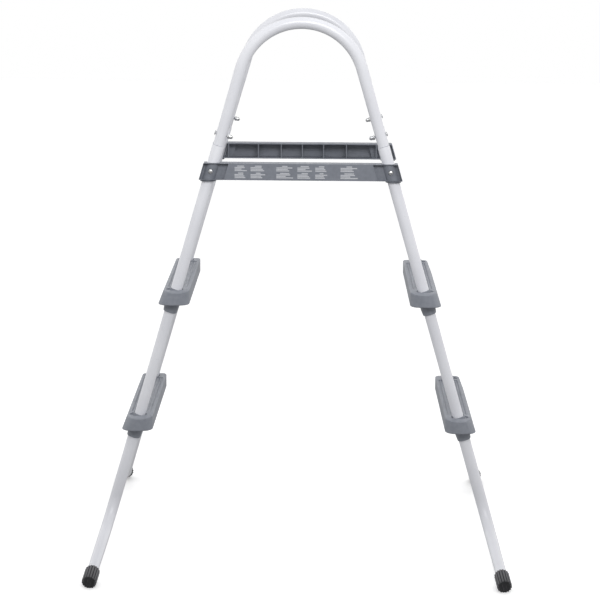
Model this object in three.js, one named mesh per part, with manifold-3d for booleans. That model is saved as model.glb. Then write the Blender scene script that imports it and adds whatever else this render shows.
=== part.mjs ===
// A-frame ladder for an above-ground pool with an 84 cm wall.
// Millimetres, +Z up. X is the spread of the A, Y is the length of the steps.
// The origin is on the floor, under the middle of the ladder.
import * as THREE from "three";
import { mergeVertices } from "three/addons/utils/BufferGeometryUtils.js";
import Module from "manifold-3d";

const wasm = await Module();
wasm.setup();

// ---------------------------------------------------------------- driving dimensions
const GAP = 0.3;                 // clearance between touching pieces

// tubes and side frames
const TUBE_R = 12.7;             // 1 inch tube
const TUBE_BORE_R = 11.4;
const SPIGOT_R = 10.8;           // swaged end that slides into the next tube
const SPIGOT_BORE_R = 9.6;
const SPIGOT_LENGTH = 46;
const SWAGE_LENGTH = 2;
const FRAME_SPACING = 370;       // centre to centre of the two side frames
const LEG_TILT = THREE.MathUtils.degToRad(16.2);
const FLOOR_HALF_SPREAD = 442;   // leg axis to the middle, at floor level
const OVERALL_HEIGHT = 1187;
const HANDRAIL_SEAM_Z = 913;
const J_LEG_SEAM_Z = 280;        // hidden in the socket of the lower step
const TUBE_SIDES = 16;
const HANDRAIL_ARC_STEPS = 10;

// feet
const FOOT_BEND = THREE.MathUtils.degToRad(74);
const FOOT_BEND_RADIUS = 80;
const FOOT_BEND_STEPS = 6;
const FOOT_REACH = 240;          // leg plane to the end of the foot cap
const CAP_R = 15.75;
const CAP_LENGTH = 44;
const CAP_END_WALL = 5;
const CAP_CHAMFER = 2.5;
const CAP_FLAT_DEPTH = 1.5;       // how far the ground flat cuts into the round cap
const CAP_SIDES = 24;

// steps
const STEP_TOPS = { lower: 320, upper: 600 };
const STEP_LENGTH = 440;
const STEP_HEIGHT = 31;
const STEP_INNER = 29;           // tube axis to the inner face, at the tread
const STEP_OUTER_TOP = 27;
const STEP_OUTER_BOTTOM = 39;
const STEP_CORNER = 14;          // plan radius of the upright corners
const STEP_END_BULGE = 10;       // how far the middle of an end stands out
const STEP_END_DROP = 2.5;       // how far the tread falls off over an end
const STEP_END_FALL = 22;        // length over which it falls
const STEP_CORNER_STEPS = 4;
const STEP_WALL = 2.5;
const STEP_RIB = 2;
const STEP_RIB_PITCH = 100;
const FLANGE_R = 18.3;           // upright flange round the tube, under the step
const FLANGE_DEPTH = 3.4;
const SLEEVE_R = 16.2;           // sleeve on the tube, which goes on below the flange
const SLEEVE_TIP_R = 14.7;
const SLEEVE_DROP = 20;
const OPENING_R = 15.5;          // sunk slot round the leg, drawn out to the climbing side
const OPENING_NEAR = 0.9;        // centres of its two round ends
const OPENING_FAR = 6.5;
const OPENING_DEPTH = 3.4;
const OPENING_WALL = 1.6;
const COLLAR_R = 14.4;           // collar that hugs the tube in the slot
const COLLAR_RISE = 0.6;         // above the tread
const BOLT_BLOCK = 17;           // width and height of the block that the step bolt crosses
const STEP_BOLT_DEPTH = 15;      // below the tread
const STEP_BOLT_SEAT = 21;       // tube axis to the face under the bolt head
const STEP_NUT_SEAT = 20;

// top brackets
const BRACKET_BOTTOM_Z = 841;
const BRACKET_HEIGHT = 36;
const BRACKET_FRONT = 19;        // tube plane to the outer face
const BRACKET_BACK = 13;         // tube plane to the open inner edge
const BRACKET_WALL = 2.5;
const BRACKET_END_MARGIN = 20.5; // tube axis to the slanted end
const RECESS_MARGIN = 33;        // tube axis to the inner side of the end recess
const RECESS_FRONT = 9;          // tube plane to the face of the recess
const RECESS_LIP = 1.2;          // rim that closes the recess above, below and at the end
const SADDLE_R = 16.2;
const SADDLE_LIP = 4;            // length of the saddle below the bracket
const RIB_X = [0, 49, 102, 171];

// fasteners, M6
const SHANK_R = 3;
const BOLT_HOLE_R = 3.3;
const HEAD_R = 5.4;
const HEAD_HEIGHT = 3.4;
const COUNTERBORE_R = 6.8;
const NUT_ROOM_R = 6.1;
const HANDRAIL_BOLT_Z = 937;
const HEX_R = 10 / 2 / Math.cos(Math.PI / 6);
const NUT_HEIGHT = 5;
const CAP_NUT_DOME_R = 4.7;
const CAP_NUT_BORE_DEPTH = 9;
const BOLT_SIDES = 8;

// ---------------------------------------------------------------- materials
function paintedTube() {
  return new THREE.MeshStandardMaterial({ color: 0xdddee3, roughness: 0.35, metalness: 0.1 });
}

function greyPlastic() {
  return new THREE.MeshStandardMaterial({ color: 0x7b7f88, roughness: 0.55, metalness: 0 });
}

function blackRubber() {
  return new THREE.MeshStandardMaterial({ color: 0x343438, roughness: 0.8, metalness: 0 });
}

function zincSteel() {
  return new THREE.MeshStandardMaterial({ color: 0xc9ced2, roughness: 0.25, metalness: 1 });
}

// ---------------------------------------------------------------- solids
function solid(geometry) {
  const bare = geometry.clone();
  bare.deleteAttribute("normal");
  bare.deleteAttribute("uv");
  const merged = mergeVertices(bare, 1e-4);
  return new wasm.Manifold(new wasm.Mesh({
    numProp: 3,
    vertProperties: new Float32Array(merged.attributes.position.array),
    triVerts: new Uint32Array(merged.index.array),
  }));
}

function geometryOf(body) {
  const mesh = body.getMesh();
  const geometry = new THREE.BufferGeometry();
  geometry.setAttribute("position", new THREE.BufferAttribute(mesh.vertProperties, 3));
  geometry.setIndex(new THREE.BufferAttribute(mesh.triVerts, 1));
  geometry.computeVertexNormals();
  return geometry;
}

// A lathed solid whose axis is Z. Profile points are [radius, z].
function turned(profile, sides) {
  const points = profile.map(([radius, z]) => new THREE.Vector2(radius, z));
  return new THREE.LatheGeometry(points, sides).rotateX(Math.PI / 2);
}

// A cylinder from z = low to z = high on the Z axis.
function rod(radius, low, high, sides) {
  return new THREE.CylinderGeometry(radius, radius, high - low, sides)
    .rotateX(Math.PI / 2)
    .translate(0, 0, (low + high) / 2);
}

// A prism with an outline of [x, z] points, reaching from y = near to y = far.
function prismAlongY(outline, near, far) {
  const shape = new THREE.Shape(outline.map(([x, z]) => new THREE.Vector2(x, z)));
  return new THREE.ExtrudeGeometry(shape, { depth: far - near, bevelEnabled: false })
    .rotateX(Math.PI / 2)
    .translate(0, far, 0);
}

// ---------------------------------------------------------------- tubes
// A path given by its stations, so that bends get short steps and straights get long ones.
class StationPath extends THREE.Curve {
  constructor(points, tangents) {
    super();
    this.points = points;
    this.tangents = tangents;
  }

  getPointAt(u) {
    return this.points[Math.round(u * (this.points.length - 1))].clone();
  }

  getTangentAt(u) {
    return this.tangents[Math.round(u * (this.points.length - 1))].clone();
  }
}

function ring(radius, sides) {
  const points = [];
  for (let i = 0; i < sides; i += 1) {
    const angle = (2 * Math.PI * i) / sides;
    points.push(new THREE.Vector2(radius * Math.cos(angle), radius * Math.sin(angle)));
  }
  return points;
}

function tubeAlong(path) {
  const section = new THREE.Shape(ring(TUBE_R, TUBE_SIDES));
  section.holes.push(new THREE.Path(ring(TUBE_BORE_R, TUBE_SIDES)));
  return new THREE.ExtrudeGeometry(section, { steps: path.points.length - 1, extrudePath: path });
}

// Draws in the end of a vertical tube above z = from, so that it slides into the next tube.
function swage(geometry, from) {
  const middle = (TUBE_R * Math.cos(Math.PI / TUBE_SIDES) + TUBE_BORE_R) / 2;
  const spots = geometry.attributes.position;
  for (let i = 0; i < spots.count; i += 1) {
    if (spots.getZ(i) > from - 0.01) {
      const radius = Math.hypot(spots.getX(i), spots.getY(i));
      const wanted = radius > middle ? SPIGOT_R : SPIGOT_BORE_R;
      spots.setX(i, (spots.getX(i) * wanted) / radius);
      spots.setY(i, (spots.getY(i) * wanted) / radius);
    }
  }
  return geometry;
}

// Distance along a leg from the floor to height z.
function alongLeg(z) {
  return z / Math.cos(LEG_TILT);
}

function legAxisX(z) {
  return FLOOR_HALF_SPREAD - z * Math.tan(LEG_TILT);
}

// A bolt hole through a tube on the Z axis, across the tube along X or Y.
function crossHole(axis, at) {
  const drill = rod(BOLT_HOLE_R, -2 * TUBE_R, 2 * TUBE_R, BOLT_SIDES);
  if (axis === "x") {
    drill.rotateY(Math.PI / 2);
  } else {
    drill.rotateX(Math.PI / 2);
  }
  return solid(drill.translate(0, 0, at));
}

// ---------------------------------------------------------------- side frame pieces
// Inverted U: straight up both legs and a half round over the top.
function handrail() {
  const apex = OVERALL_HEIGHT - TUBE_R;
  const radius = (legAxisX(apex) * Math.cos(LEG_TILT)) / (1 - Math.sin(LEG_TILT));
  const centreZ = apex - radius;
  const up = new THREE.Vector3(-Math.sin(LEG_TILT), 0, Math.cos(LEG_TILT));
  const down = new THREE.Vector3(-Math.sin(LEG_TILT), 0, -Math.cos(LEG_TILT));
  const endX = legAxisX(HANDRAIL_SEAM_Z) - GAP * Math.sin(LEG_TILT);
  const endZ = HANDRAIL_SEAM_Z + GAP * Math.cos(LEG_TILT);
  const points = [new THREE.Vector3(endX, 0, endZ)];
  const tangents = [up];
  for (let i = 0; i <= HANDRAIL_ARC_STEPS; i += 1) {
    const angle = LEG_TILT + ((Math.PI - 2 * LEG_TILT) * i) / HANDRAIL_ARC_STEPS;
    points.push(new THREE.Vector3(radius * Math.cos(angle), 0, centreZ + radius * Math.sin(angle)));
    tangents.push(new THREE.Vector3(-Math.sin(angle), 0, Math.cos(angle)));
  }
  points.push(new THREE.Vector3(-endX, 0, endZ));
  tangents.push(down);
  let body = solid(tubeAlong(new StationPath(points, tangents)));
  for (const side of [-1, 1]) {
    const drill = rod(BOLT_HOLE_R, -2 * TUBE_R, 2 * TUBE_R, BOLT_SIDES)
      .rotateY(Math.PI / 2 - side * LEG_TILT)
      .translate(side * legAxisX(HANDRAIL_BOLT_Z), 0, HANDRAIL_BOLT_Z);
    body = body.subtract(solid(drill));
  }
  return geometryOf(body);
}

// Straight leg on the Z axis of its leg group, from the J-leg to the handrail.
function upperLeg() {
  const low = alongLeg(J_LEG_SEAM_Z) + GAP;
  const high = alongLeg(HANDRAIL_SEAM_Z);
  const stepBolts = Object.values(STEP_TOPS).map((top) => alongLeg(top - STEP_BOLT_DEPTH));
  const heights = [low, high - SWAGE_LENGTH, high, high + SPIGOT_LENGTH];
  const path = new StationPath(
    heights.map((z) => new THREE.Vector3(0, 0, z)),
    heights.map(() => new THREE.Vector3(0, 0, 1)),
  );
  const body = solid(swage(tubeAlong(path), high))
    .subtract(crossHole("x", alongLeg(HANDRAIL_BOLT_Z)))
    .subtract(crossHole("y", alongLeg(BRACKET_BOTTOM_Z + BRACKET_HEIGHT / 2)))
    .subtract(crossHole("x", stepBolts[0]))
    .subtract(crossHole("x", stepBolts[1]));
  return geometryOf(body);
}

// The foot in the plane x = 0 of its leg group: where it leaves the leg and where it ends.
function footLine() {
  const length = FOOT_REACH / Math.sin(FOOT_BEND);
  const dip = Math.cos(FOOT_BEND) * Math.cos(LEG_TILT);
  const endHeight = CAP_R * Math.sqrt(1 - dip * dip) - CAP_FLAT_DEPTH;
  const cornerAt = alongLeg(endHeight) + length * Math.cos(FOOT_BEND);
  return { length, cornerAt };
}

// Leg end that turns outwards into a foot that slopes down to the ground, along +Y of its leg group.
function jLeg() {
  const { length, cornerAt } = footLine();
  const setback = FOOT_BEND_RADIUS * Math.tan(FOOT_BEND / 2);
  const bendStart = cornerAt + setback;
  const tubeLength = length - CAP_END_WALL - GAP;
  const top = alongLeg(J_LEG_SEAM_Z);
  const heights = [top + SPIGOT_LENGTH, top, top - SWAGE_LENGTH];
  const points = heights.map((z) => new THREE.Vector3(0, 0, z));
  const tangents = heights.map(() => new THREE.Vector3(0, 0, -1));
  for (let i = 0; i <= FOOT_BEND_STEPS; i += 1) {
    const angle = (FOOT_BEND * i) / FOOT_BEND_STEPS;
    const y = FOOT_BEND_RADIUS * (1 - Math.cos(angle));
    points.push(new THREE.Vector3(0, y, bendStart - FOOT_BEND_RADIUS * Math.sin(angle)));
    tangents.push(new THREE.Vector3(0, Math.sin(angle), -Math.cos(angle)));
  }
  const end = new THREE.Vector3(0, Math.sin(FOOT_BEND), -Math.cos(FOOT_BEND));
  points.push(end.clone().multiplyScalar(tubeLength).add(new THREE.Vector3(0, 0, cornerAt)));
  tangents.push(end);
  const body = solid(swage(tubeAlong(new StationPath(points, tangents)), top))
    .subtract(crossHole("x", alongLeg(STEP_TOPS.lower - STEP_BOLT_DEPTH)));
  return geometryOf(body);
}

// Closed rubber sleeve on the Z axis, with its end face at z = 0 and its mouth above.
function footCap() {
  const bore = TUBE_R + GAP;
  return turned([
    [0, 0],
    [CAP_R - CAP_CHAMFER, 0],
    [CAP_R, CAP_CHAMFER],
    [CAP_R, CAP_LENGTH],
    [bore, CAP_LENGTH],
    [bore, CAP_END_WALL],
    [0, CAP_END_WALL],
  ], CAP_SIDES);
}

// Cuts the ground flat: takes away what lies below the floor.
function cutAtFloor(mesh) {
  mesh.updateWorldMatrix(true, false);
  const below = new THREE.BoxGeometry(4000, 4000, 100).translate(0, 0, -50);
  below.applyMatrix4(mesh.matrixWorld.clone().invert());
  mesh.geometry = geometryOf(solid(mesh.geometry).subtract(solid(below)));
}

// ---------------------------------------------------------------- step
// Local frame: outwards is +X, the tread is z = 0, the tube axes cross it at x = 0.
// Points round the step at height z, drawn in by inset: convex ends, round corners.
function stepPlan(inset, z, drop) {
  const slant = (STEP_OUTER_BOTTOM - STEP_OUTER_TOP) / STEP_HEIGHT;
  const inner = -STEP_INNER + inset;
  const outer = STEP_OUTER_TOP - z * slant - inset;
  const middle = (inner + outer) / 2;
  const width = (outer - inner) / 2;
  const radius = STEP_CORNER - inset;
  const half = STEP_LENGTH / 2 - inset;
  const quarter = [[0, half - STEP_END_BULGE]];
  for (let i = 0; i <= STEP_CORNER_STEPS; i += 1) {
    const angle = ((Math.PI / 2) * i) / STEP_CORNER_STEPS;
    quarter.push([
      width - radius + radius * Math.sin(angle),
      half - STEP_END_BULGE - radius + radius * Math.cos(angle),
    ]);
  }
  const points = [];
  for (const [x, flatEnd] of quarter) {
    const y = flatEnd + STEP_END_BULGE * (1 - (x / width) ** 2);
    const fall = Math.max(0, y - (half - STEP_END_FALL)) / STEP_END_FALL;
    for (const side of [-1, 1]) {
      for (const end of [-1, 1]) {
        points.push([middle + side * x, end * y, z - drop * fall * fall]);
      }
    }
  }
  return points;
}

// Solid step, or with an inset the room inside it, from z = low up to z = high.
function stepBlock(inset, low, high) {
  const fallStart = STEP_LENGTH / 2 - inset - STEP_END_FALL;
  const crest = [-1, 1].flatMap((end) => [
    [-STEP_INNER + inset, end * fallStart, high],
    [STEP_OUTER_TOP - inset, end * fallStart, high],
  ]);
  return wasm.Manifold.hull([
    ...stepPlan(inset, low, 0),
    ...stepPlan(inset, high, STEP_END_DROP),
    ...crest,
  ]);
}

// An upright solid between two round ends, round the leg at one end of the step.
function obround(radius, y, low, high) {
  return wasm.Manifold.hull([OPENING_NEAR, OPENING_FAR].map(
    (x) => solid(rod(radius, low, high, TUBE_SIDES).translate(x, y, 0)),
  ));
}

// Moves a shape on the Z axis onto the axis of a leg through the step.
function ontoLeg(geometry, y) {
  return solid(geometry.rotateY(-LEG_TILT).translate(0, y, 0));
}

// Moves a shape that lies along Z onto the line of a step bolt. Outwards is +Z before it.
function ontoStepBolt(geometry, y) {
  return solid(geometry
    .rotateY(Math.PI / 2 - LEG_TILT)
    .translate(STEP_BOLT_DEPTH * Math.tan(LEG_TILT), y, -STEP_BOLT_DEPTH));
}

function step() {
  const outer = stepBlock(0, -STEP_HEIGHT, 0);
  let room = stepBlock(STEP_WALL, -STEP_HEIGHT - 1, -STEP_WALL);
  for (let i = -1; i <= 1; i += 1) {
    const rib = new THREE.BoxGeometry(200, STEP_RIB, 100).translate(0, i * STEP_RIB_PITCH, 0);
    room = room.subtract(solid(rib));
  }
  let body = outer.subtract(room);
  const under = -alongLeg(STEP_HEIGHT);
  const flangeBottom = -STEP_HEIGHT - FLANGE_DEPTH;
  for (const y of [-FRAME_SPACING / 2, FRAME_SPACING / 2]) {
    const flange = rod(FLANGE_R, flangeBottom, -STEP_HEIGHT + 6, TUBE_SIDES)
      .translate(-flangeBottom * Math.tan(LEG_TILT) + 1, y, 0);
    const sleeve = turned([
      [0, under - SLEEVE_DROP],
      [SLEEVE_TIP_R, under - SLEEVE_DROP],
      [SLEEVE_R, under - 6],
      [SLEEVE_R, -OPENING_DEPTH - 1],
      [0, -OPENING_DEPTH - 1],
    ], TUBE_SIDES);
    const collar = rod(COLLAR_R, -OPENING_DEPTH - 3, COLLAR_RISE, TUBE_SIDES);
    const bore = rod(TUBE_R + GAP, under - SLEEVE_DROP - 5, 30, TUBE_SIDES);
    const block = new THREE.BoxGeometry(BOLT_BLOCK, BOLT_BLOCK, STEP_NUT_SEAT + 60)
      .translate(0, 0, (60 - STEP_NUT_SEAT) / 2);
    body = body
      .add(ontoStepBolt(block, y).intersect(outer))
      .add(obround(OPENING_R + OPENING_WALL, y, -OPENING_DEPTH - OPENING_WALL, -1))
      .add(solid(flange))
      .add(ontoLeg(sleeve, y))
      .subtract(obround(OPENING_R, y, -OPENING_DEPTH, 1))
      .add(ontoLeg(collar, y))
      .subtract(ontoLeg(bore, y))
      .subtract(ontoStepBolt(rod(BOLT_HOLE_R, -60, 60, BOLT_SIDES), y))
      .subtract(ontoStepBolt(rod(COUNTERBORE_R, STEP_BOLT_SEAT, 60, BOLT_SIDES), y))
      .subtract(ontoStepBolt(rod(NUT_ROOM_R, -STEP_NUT_SEAT - 6, -STEP_NUT_SEAT, BOLT_SIDES), y));
  }
  return geometryOf(body);
}

// ---------------------------------------------------------------- top bracket
// Local frame: outwards is +Y, y = 0 is the plane of the tube axes, z = 0 is the underside.
function topBracket() {
  const slope = Math.tan(LEG_TILT);
  const bottomAxis = legAxisX(BRACKET_BOTTOM_Z);
  const axisAt = (z) => bottomAxis - z * slope;
  // A block between two lines that run parallel to the leg, on one side of the bracket.
  const slanted = (side, from, to, low, high, near, far) => {
    const corners = [
      [axisAt(low) + from, low],
      [axisAt(low) + to, low],
      [axisAt(high) + to, high],
      [axisAt(high) + from, high],
    ].map(([x, z]) => [side * x, z]);
    return solid(prismAlongY(side > 0 ? corners : corners.reverse(), near, far));
  };
  const top = BRACKET_HEIGHT;
  const wall = BRACKET_WALL;
  const half = bottomAxis + BRACKET_END_MARGIN;
  const halfTop = axisAt(top) + BRACKET_END_MARGIN;
  let body = solid(prismAlongY(
    [[-half, 0], [half, 0], [halfTop, top], [-halfTop, top]],
    -BRACKET_BACK,
    BRACKET_FRONT,
  ));
  const back = -BRACKET_BACK - 1;
  for (const side of [-1, 1]) {
    body = body.subtract(slanted(
      side, -RECESS_MARGIN, BRACKET_END_MARGIN - RECESS_LIP, RECESS_LIP, top - RECESS_LIP,
      RECESS_FRONT, BRACKET_FRONT + 1,
    ));
    const hollow = (from, to, near, far) => {
      const corners = [[from, wall], [to, wall], [to, top - wall], [from, top - wall]]
        .map(([x, z]) => [side * x, z]);
      return solid(prismAlongY(side > 0 ? corners : corners.reverse(), near, far));
    };
    for (let i = 0; i + 2 < RIB_X.length; i += 1) {
      body = body.subtract(hollow(RIB_X[i] + 1, RIB_X[i + 1] - 1, back, BRACKET_FRONT - wall));
    }
    const [innerRib, outerRib] = RIB_X.slice(-2);
    const beside = slanted(side, -200, -RECESS_MARGIN - wall, wall, top - wall, back, BRACKET_FRONT);
    const atEnd = slanted(side, -200, BRACKET_END_MARGIN - wall, wall, top - wall, back, BRACKET_FRONT);
    const deep = hollow(innerRib + 1, outerRib - 1, back, BRACKET_FRONT - wall).intersect(beside);
    const shallow = hollow(innerRib + 1, outerRib - 1, back, RECESS_FRONT - wall);
    const last = hollow(outerRib + 1, half, back, RECESS_FRONT - wall).intersect(atEnd);
    body = body.subtract(deep).subtract(shallow).subtract(last);

    const onLeg = (geometry) => solid(
      geometry.rotateY(-side * LEG_TILT).translate(side * bottomAxis, 0, 0));
    const saddleRoom = solid(new THREE.BoxGeometry(1000, 40, top + SADDLE_LIP)
      .translate(0, 20, (top - SADDLE_LIP) / 2));
    const saddle = onLeg(rod(SADDLE_R, -60, 120, TUBE_SIDES)).intersect(saddleRoom);
    const slot = onLeg(new THREE.BoxGeometry(2 * (TUBE_R + GAP), 40, 300).translate(0, -20, 0));
    const boltX = side * axisAt(top / 2);
    const drill = rod(BOLT_HOLE_R, -60, 60, BOLT_SIDES)
      .rotateX(Math.PI / 2)
      .translate(boltX, 0, top / 2);
    body = body
      .add(saddle)
      .subtract(onLeg(rod(TUBE_R + GAP, -100, 160, TUBE_SIDES)))
      .subtract(slot)
      .subtract(solid(drill));
  }
  return geometryOf(body);
}

// ---------------------------------------------------------------- fasteners
// Round-head bolt: the underside of the head is z = 0, the shank points down.
function bolt(shankLength) {
  return turned([
    [0, -shankLength],
    [SHANK_R, -shankLength],
    [SHANK_R, 0],
    [HEAD_R, 0],
    [HEAD_R * 0.92, HEAD_HEIGHT * 0.45],
    [HEAD_R * 0.6, HEAD_HEIGHT * 0.85],
    [0, HEAD_HEIGHT],
  ], BOLT_SIDES);
}

// Hexagon nut from z = -NUT_HEIGHT to z = 0.
function hexNut() {
  const body = solid(rod(HEX_R, -NUT_HEIGHT, 0, 6))
    .subtract(solid(rod(BOLT_HOLE_R, -NUT_HEIGHT - 1, 1, BOLT_SIDES)));
  return geometryOf(body);
}

// Hexagon nut with a closed dome, open at z = 0.
function capNut() {
  const dome = turned([
    [0, -NUT_HEIGHT - 7.5],
    [CAP_NUT_DOME_R * 0.62, -NUT_HEIGHT - 6.3],
    [CAP_NUT_DOME_R, -NUT_HEIGHT - 3],
    [CAP_NUT_DOME_R, -NUT_HEIGHT + 1],
    [0, -NUT_HEIGHT + 1],
  ], BOLT_SIDES);
  const body = solid(rod(HEX_R, -NUT_HEIGHT, 0, 6))
    .add(solid(dome))
    .subtract(solid(rod(BOLT_HOLE_R, -CAP_NUT_BORE_DEPTH, 1, BOLT_SIDES)));
  return geometryOf(body);
}

// ---------------------------------------------------------------- assembly
function named(name, geometry, material) {
  const mesh = new THREE.Mesh(geometry, material);
  mesh.name = name;
  return mesh;
}

// A bolt and its nut on one line across a leg. Seats are distances from the tube axis.
function boltSet(leg, place, names, boltGeometry, nutGeometry, turn, at) {
  const pair = new THREE.Group();
  pair.position.z = at;
  pair.rotation.set(turn.x, turn.y, 0);
  const head = named(names.bolt, boltGeometry, zincSteel());
  head.position.z = place.head;
  const nut = named(names.nut, nutGeometry, zincSteel());
  nut.position.z = -place.nut;
  pair.add(head, nut);
  leg.add(pair);
}

// Everything that follows one leg tube, in a group whose Z axis is the tube axis.
function legGroup(frameName, frameSide, sideName, side) {
  const place = `${frameName}_${sideName}`;
  const leg = new THREE.Group();
  leg.position.set(side * FLOOR_HALF_SPREAD, (frameSide * FRAME_SPACING) / 2, 0);
  leg.rotation.y = -side * LEG_TILT;
  leg.add(named(`upper_leg_${place}`, upperLeg(), paintedTube()));

  const foot = new THREE.Group();
  foot.rotation.z = frameSide > 0 ? 0 : Math.PI;
  foot.add(named(`j_leg_${place}`, jLeg(), paintedTube()));
  const { length, cornerAt } = footLine();
  const cap = named(`foot_cap_${place}`, footCap(), blackRubber());
  cap.position.set(0, length * Math.sin(FOOT_BEND), cornerAt - length * Math.cos(FOOT_BEND));
  cap.rotation.x = FOOT_BEND;
  foot.add(cap);
  leg.add(foot);

  const seat = TUBE_R + GAP;
  const acrossX = { x: 0, y: (side * Math.PI) / 2 };
  boltSet(
    leg, { head: seat, nut: seat },
    { bolt: `handrail_bolt_${place}`, nut: `handrail_cap_nut_${place}` },
    bolt(2 * seat + 7), capNut(), acrossX, alongLeg(HANDRAIL_BOLT_Z),
  );
  for (const [level, top] of Object.entries(STEP_TOPS)) {
    boltSet(
      leg, { head: STEP_BOLT_SEAT + GAP, nut: STEP_NUT_SEAT + GAP },
      { bolt: `step_bolt_${level}_${place}`, nut: `step_nut_${level}_${place}` },
      bolt(STEP_BOLT_SEAT + STEP_NUT_SEAT + NUT_HEIGHT + 2), hexNut(), acrossX,
      alongLeg(top - STEP_BOLT_DEPTH),
    );
  }
  boltSet(
    leg, { head: SADDLE_R + GAP, nut: seat },
    { bolt: `bracket_bolt_${place}`, nut: `bracket_nut_${place}` },
    bolt(SADDLE_R + seat + NUT_HEIGHT + 2), hexNut(), { x: (-frameSide * Math.PI) / 2, y: 0 },
    alongLeg(BRACKET_BOTTOM_Z + BRACKET_HEIGHT / 2),
  );
  return leg;
}

const ladder = new THREE.Group();
ladder.name = "pool_ladder";
const frames = { front: -1, rear: 1 };
const sides = { left: -1, right: 1 };

for (const [frameName, frameSide] of Object.entries(frames)) {
  const rail = named(`handrail_${frameName}`, handrail(), paintedTube());
  rail.position.y = (frameSide * FRAME_SPACING) / 2;
  ladder.add(rail);
  const bracket = named(`top_bracket_${frameName}`, topBracket(), greyPlastic());
  bracket.position.set(0, (frameSide * FRAME_SPACING) / 2, BRACKET_BOTTOM_Z);
  bracket.rotation.z = frameSide > 0 ? 0 : Math.PI;
  ladder.add(bracket);
  for (const [sideName, side] of Object.entries(sides)) {
    ladder.add(legGroup(frameName, frameSide, sideName, side));
  }
}

for (const [level, top] of Object.entries(STEP_TOPS)) {
  for (const [sideName, side] of Object.entries(sides)) {
    const tread = named(`step_${level}_${sideName}`, step(), greyPlastic());
    tread.position.set(side * legAxisX(top), 0, top);
    tread.rotation.z = side > 0 ? 0 : Math.PI;
    ladder.add(tread);
  }
}

ladder.updateMatrixWorld(true);
ladder.traverse((node) => {
  if (node.name.startsWith("foot_cap")) {
    cutAtFloor(node);
  }
});

export default ladder;
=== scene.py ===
"""Visual model of an A-frame ladder for an above-ground pool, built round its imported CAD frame.

Sizes are in millimetres, as in the CAD, and every mesh is scaled to metres as it is placed.
X is the spread of the A, Y is the length of the steps, and the origin is on the floor.
"""

import math

import bmesh
import bpy
from mathutils import Matrix, Vector


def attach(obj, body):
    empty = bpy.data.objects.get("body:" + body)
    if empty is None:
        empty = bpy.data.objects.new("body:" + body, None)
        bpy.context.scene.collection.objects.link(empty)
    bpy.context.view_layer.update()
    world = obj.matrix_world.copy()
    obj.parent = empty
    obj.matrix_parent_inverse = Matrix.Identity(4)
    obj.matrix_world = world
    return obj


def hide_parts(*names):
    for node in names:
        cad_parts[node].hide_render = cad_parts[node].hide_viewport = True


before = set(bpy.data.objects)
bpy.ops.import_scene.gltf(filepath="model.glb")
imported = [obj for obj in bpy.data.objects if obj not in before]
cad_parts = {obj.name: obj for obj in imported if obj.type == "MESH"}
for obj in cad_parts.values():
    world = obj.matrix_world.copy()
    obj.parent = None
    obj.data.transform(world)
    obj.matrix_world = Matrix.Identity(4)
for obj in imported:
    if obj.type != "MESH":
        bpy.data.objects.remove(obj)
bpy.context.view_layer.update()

MM = 0.001

# ---------------------------------------------------------------- driving dimensions
GAP = 0.3                        # clearance between touching pieces

# tubes and side frames
TUBE_R = 12.7
TUBE_BORE_R = 11.4
TUBE_RIM = 1.0                   # rounding of a cut tube end, outside
BORE_RIM = 0.25
SPIGOT_R = 10.8
SPIGOT_BORE_R = 9.6
SPIGOT_LENGTH = 46
FRAME_SPACING = 370
LEG_TILT = math.radians(16.2)
FLOOR_HALF_SPREAD = 442
OVERALL_HEIGHT = 1187
HANDRAIL_SEAM_Z = 913
J_LEG_SEAM_Z = 280
TUBE_SIDES = 48

# feet
FOOT_BEND = math.radians(74)
FOOT_BEND_RADIUS = 80
FOOT_REACH = 240
CAP_R = 15.75
CAP_BASE_R = 13.6                # bottom of the flutes
CAP_LENGTH = 44
CAP_END_WALL = 5
CAP_FLAT_DEPTH = 1.5
CAP_FLUTES = 16
CAP_TREAD_BARS = 5

# steps
STEP_TOPS = {"lower": 320, "upper": 600}
STEP_LENGTH = 440
STEP_HEIGHT = 31
STEP_INNER = 29
STEP_OUTER_TOP = 27
STEP_OUTER_BOTTOM = 39
STEP_WALL = 2.5
STEP_RIB = 2
STEP_RIB_PITCH = 100
STEP_CORNER = 14                 # plan radius of the upright corners
STEP_END_BULGE = 10              # how far the middle of an end stands out
STEP_END_DROP = 2.5              # how far the tread falls off over an end
STEP_END_FALL = 22               # length over which it falls
STEP_TOP_ROUND = 2.2
STEP_BOTTOM_ROUND = 2.3
TREAD_MARGIN = 6.5               # rim beside the ribbed part of the tread
TREAD_HALF_LENGTH = 163
TREAD_DEPTH = 2.2
TREAD_RIBS = 6
TREAD_RIB_HEIGHT = 1.7
FLANGE_R = 18.3
FLANGE_DEPTH = 3.4               # below the step
SLEEVE_R = 16.2
SLEEVE_TIP_R = 14.7
SLEEVE_DROP = 20
OPENING_R = 15.5                 # sunk slot round the leg, drawn out to the climbing side
OPENING_NEAR = 0.9               # centres of its two round ends
OPENING_FAR = 6.5
OPENING_DEPTH = 3.4
OPENING_WALL = 1.6
CUP_TOP = -1.2                   # top of the wall round the slot, inside the thickness of the tread
COLLAR_R = 14.4                  # collar that hugs the tube in the slot
COLLAR_RISE = 0.6                # above the tread
BOLT_BLOCK = 17
STEP_BOLT_DEPTH = 15
STEP_BOLT_SEAT = 21
STEP_NUT_SEAT = 20

# top brackets
BRACKET_BOTTOM_Z = 841
BRACKET_HEIGHT = 36
BRACKET_FRONT = 19
BRACKET_BACK = 13
BRACKET_WALL = 2.5
BRACKET_END_MARGIN = 20.5
BRACKET_ROUND = 1.1
RECESS_MARGIN = 33
RECESS_FRONT = 9
RECESS_LIP = 1.2
SADDLE_R = 16.2
SADDLE_LIP = 4
BRACKET_RIBS = (0, 49, 102, 171)  # middles of the cross ribs, to either side
HALF_BRACKET_RIB = 1
EDGE_SOFTENING = 0.3             # bevel of the moulded edges

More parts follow.
